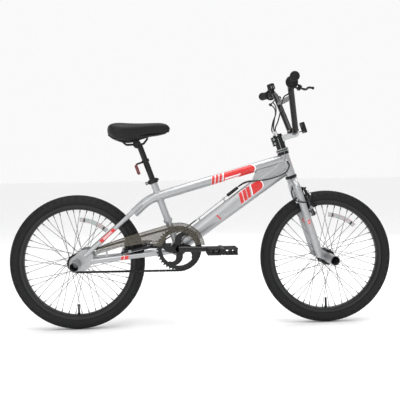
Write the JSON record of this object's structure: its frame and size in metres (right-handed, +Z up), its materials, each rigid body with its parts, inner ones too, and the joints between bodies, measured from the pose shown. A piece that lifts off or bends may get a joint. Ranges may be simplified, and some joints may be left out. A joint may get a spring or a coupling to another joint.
{
  "type": "bmx bike",
  "caption": "Freestyle BMX bike with pegs, cable rotor, linear-pull brakes, chain guard, high-rise bar with crossbar and padded saddle.",
  "frame": {"origin": "on the ground under the middle of the bike, midway between the two axles, which is the bottom centre of its box", "axes": "+X forward, +Y to the rider's left (the chain is on the -Y side), +Z up"},
  "size_m": [1.4349, 0.7098, 0.9271],
  "materials": {
    "silver_paint": "gloss",
    "black_metal": "gloss",
    "grey_steel": "satin",
    "bright_metal": "satin",
    "black_alloy": "satin",
    "tyre_rubber": "matt",
    "grip_rubber": "matt",
    "cable_black": "satin",
    "guard_smoke": "gloss, see-through",
    "black_plastic": "matt",
    "clear_reflector": "gloss, see-through",
    "red_reflector": "gloss",
    "saddle_vinyl": "satin"
  },
  "bodies": {
    "frame": {"head_tube": "silver_paint", "top_tube": "silver_paint", "down_tube": "silver_paint", "seat_tube": "silver_paint", "bottom_bracket_shell": "silver_paint", "head_gusset": "silver_paint", "chain_stays": "silver_paint", "seat_stays": "silver_paint", "rear_dropouts": "silver_paint", "frame_fittings": "silver_paint", "seat_clamp": "black_alloy", "bearing_cups": "black_alloy", "rear_axle": "grey_steel", "rear_pegs": "grey_steel", "chain_guard": "guard_smoke", "chain": "black_metal", "rear_brake_cable": "cable_black"},
    "steering": {"fork": "silver_paint", "fork_fittings": "silver_paint", "headset_spacers": "black_alloy", "stem": "bright_metal", "stem_clamps": "black_alloy", "handlebar": "black_metal", "grips": "grip_rubber", "lever_brackets": "black_alloy", "front_axle": "grey_steel", "front_pegs": "grey_steel", "front_reflector": "clear_reflector", "upper_rotor_cables": "cable_black", "front_brake_cable": "cable_black", "bell": "black_plastic"},
    "left_lever": {"brake_lever_left": "black_alloy"},
    "right_lever": {"brake_lever_right": "black_alloy"},
    "rotor_upper": {"rotor_upper_plate": "bright_metal"},
    "rotor_lower": {"rotor_lower_plate": "bright_metal"},
    "front_arm_left": {"front_brake_arm_left": "black_alloy"},
    "front_arm_right": {"front_brake_arm_right": "black_alloy"},
    "rear_arm_left": {"rear_brake_arm_left": "black_alloy"},
    "rear_arm_right": {"rear_brake_arm_right": "black_alloy"},
    "front_wheel": {"front_tyre": "tyre_rubber", "front_rim": "black_alloy", "front_spokes": "grey_steel", "front_hub": "black_alloy", "front_inner_tube": "grip_rubber", "front_wheel_reflector": "clear_reflector"},
    "rear_wheel": {"rear_tyre": "tyre_rubber", "rear_rim": "black_alloy", "rear_spokes": "grey_steel", "rear_hub": "black_alloy", "rear_inner_tube": "grip_rubber", "rear_wheel_reflector": "clear_reflector"},
    "cog": {"freewheel": "grey_steel"},
    "crankset": {"crank": "black_metal", "chainring": "black_metal"},
    "left_pedal": {"pedal_left": "black_plastic"},
    "right_pedal": {"pedal_right": "black_plastic"},
    "seat": {"seat_post": "black_metal", "saddle_cover": "saddle_vinyl", "saddle_base": "black_plastic", "rear_reflector": "red_reflector"}
  },
  "joints": [
    {"name": "steering_turn", "type": "hinge", "parent": "frame", "child": "steering", "pos_m": [0.44087, 0, 0.24135], "axis": [-0.309, 0, 0.9511], "continuous": true},
    {"name": "crank_spin", "type": "hinge", "parent": "frame", "child": "crankset", "pos_m": [-0.09243, 0, 0.296], "axis": [0, 1, 0], "continuous": true, "deforming": ["chain"]},
    {"name": "rear_wheel_spin", "type": "hinge", "parent": "frame", "child": "rear_wheel", "pos_m": [-0.4675, 0, 0.25], "axis": [0, 1, 0], "continuous": true},
    {"name": "cog_spin", "type": "hinge", "parent": "frame", "child": "cog", "pos_m": [-0.4675, 0, 0.25], "axis": [0, 1, 0], "continuous": true},
    {"name": "front_wheel_spin", "type": "hinge", "parent": "steering", "child": "front_wheel", "pos_m": [0.4675, 0, 0.25], "axis": [0, 1, 0], "continuous": true},
    {"name": "left_pedal_spin", "type": "hinge", "parent": "crankset", "child": "left_pedal", "pos_m": [-0.24243, 0, 0.296], "axis": [0, 1, 0], "continuous": true},
    {"name": "right_pedal_spin", "type": "hinge", "parent": "crankset", "child": "right_pedal", "pos_m": [0.05757, 0, 0.296], "axis": [0, 1, 0], "continuous": true},
    {"name": "left_lever_pull", "type": "hinge", "parent": "steering", "child": "left_lever", "pos_m": [0.33245, 0.205, 0.86818], "axis": [0.5, 0, 0.866], "range_deg": [0, 15], "stiffness_Nm_per_rad": 0.6, "springref_deg": -14.32},
    {"name": "right_lever_pull", "type": "hinge", "parent": "steering", "child": "right_lever", "pos_m": [0.33245, -0.205, 0.86818], "axis": [-0.5, 0, -0.866], "range_deg": [0, 15], "stiffness_Nm_per_rad": 0.6, "springref_deg": -14.32},
    {"name": "rotor_upper_lift", "type": "slide", "parent": "steering", "child": "rotor_upper", "axis": [-0.309, 0, 0.9511], "range_m": [0, 0.007], "stiffness_N_per_m": 2, "springref_m": 0.0605},
    {"name": "rotor_lower_lift", "type": "slide", "parent": "frame", "child": "rotor_lower", "axis": [-0.309, 0, 0.9511], "range_m": [0, 0.007], "stiffness_N_per_m": 2, "springref_m": 0.0383},
    {"name": "front_arm_left_close", "type": "hinge", "parent": "steering", "child": "front_arm_left", "pos_m": [0.41342, 0.041, 0.41643], "axis": [0.9511, 0, 0.309], "range_deg": [0, 3.5], "stiffness_Nm_per_rad": 0.5, "springref_deg": -5.73},
    {"name": "front_arm_right_close", "type": "hinge", "parent": "steering", "child": "front_arm_right", "pos_m": [0.41342, -0.041, 0.41643], "axis": [-0.9511, 0, -0.309], "range_deg": [0, 3.5], "stiffness_Nm_per_rad": 0.5, "springref_deg": -5.73},
    {"name": "rear_arm_left_close", "type": "hinge", "parent": "frame", "child": "rear_arm_left", "pos_m": [-0.29601, 0.041, 0.28489], "axis": [0.1994, 0, -0.9799], "range_deg": [0, 3.5], "stiffness_Nm_per_rad": 0.5, "springref_deg": -5.73},
    {"name": "rear_arm_right_close", "type": "hinge", "parent": "frame", "child": "rear_arm_right", "pos_m": [-0.29601, -0.041, 0.28489], "axis": [-0.1994, 0, 0.9799], "range_deg": [0, 3.5], "stiffness_Nm_per_rad": 0.5, "springref_deg": -5.73},
    {"name": "seat_height", "type": "slide", "parent": "frame", "child": "seat", "axis": [-0.3371, 0, 0.9415], "range_m": [-0.05, 0.05]}
  ],
  "couplings": [
    {"joint": "cog_spin", "follows": "crank_spin", "ratio": 2.5},
    {"joint": "rotor_upper_lift", "follows": "left_lever_pull", "m_per_rad": 0.026738},
    {"joint": "rotor_lower_lift", "follows": "left_lever_pull", "m_per_rad": 0.026738},
    {"joint": "rear_arm_left_close", "follows": "left_lever_pull", "ratio": 0.2333},
    {"joint": "rear_arm_right_close", "follows": "left_lever_pull", "ratio": 0.2333},
    {"joint": "front_arm_left_close", "follows": "right_lever_pull", "ratio": 0.2333},
    {"joint": "front_arm_right_close", "follows": "right_lever_pull", "ratio": 0.2333}
  ]
}
